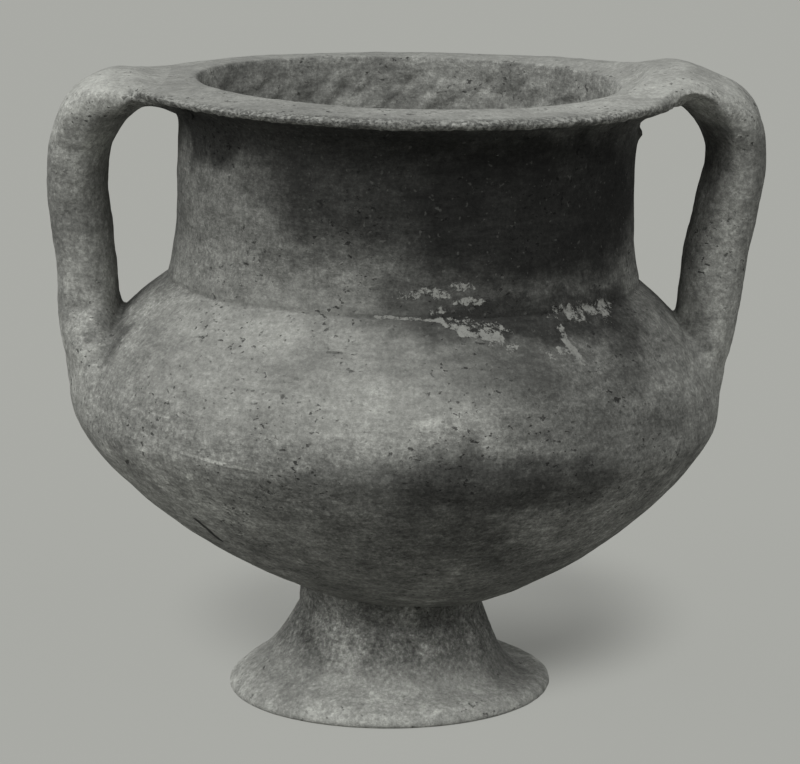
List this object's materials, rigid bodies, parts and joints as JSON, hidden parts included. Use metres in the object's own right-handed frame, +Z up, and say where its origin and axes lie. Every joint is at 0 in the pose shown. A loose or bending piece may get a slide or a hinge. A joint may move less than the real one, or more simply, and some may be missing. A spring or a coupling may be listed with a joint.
{
  "type": "two-handled footed pottery vessel",
  "caption": "Wide pottery cup on a hollow flared foot, with a tall collar neck, an everted lip and a loop handle on each side.",
  "frame": {"origin": "middle of the vessel's footprint, on the table that the foot stands on", "axes": "+Z up, +X from the left handle to the right handle as pictured, +Y away from the viewer"},
  "size_m": [0.1968, 0.178, 0.1758],
  "materials": {
    "body_clay": "matte gritty fired clay",
    "neck_clay": "matte gritty fired clay, darker fire-clouds",
    "handle_clay": "matte wiped fired clay",
    "foot_clay": "matte worn fired clay",
    "luting_clay": "matte wiped slip"
  },
  "bodies": {
    "root": {"foot": "foot_clay", "foot_luting_ring": "luting_clay", "bowl": "body_clay", "neck": "neck_clay", "left_handle": "handle_clay", "right_handle": "handle_clay"}
  },
  "joints": []
}
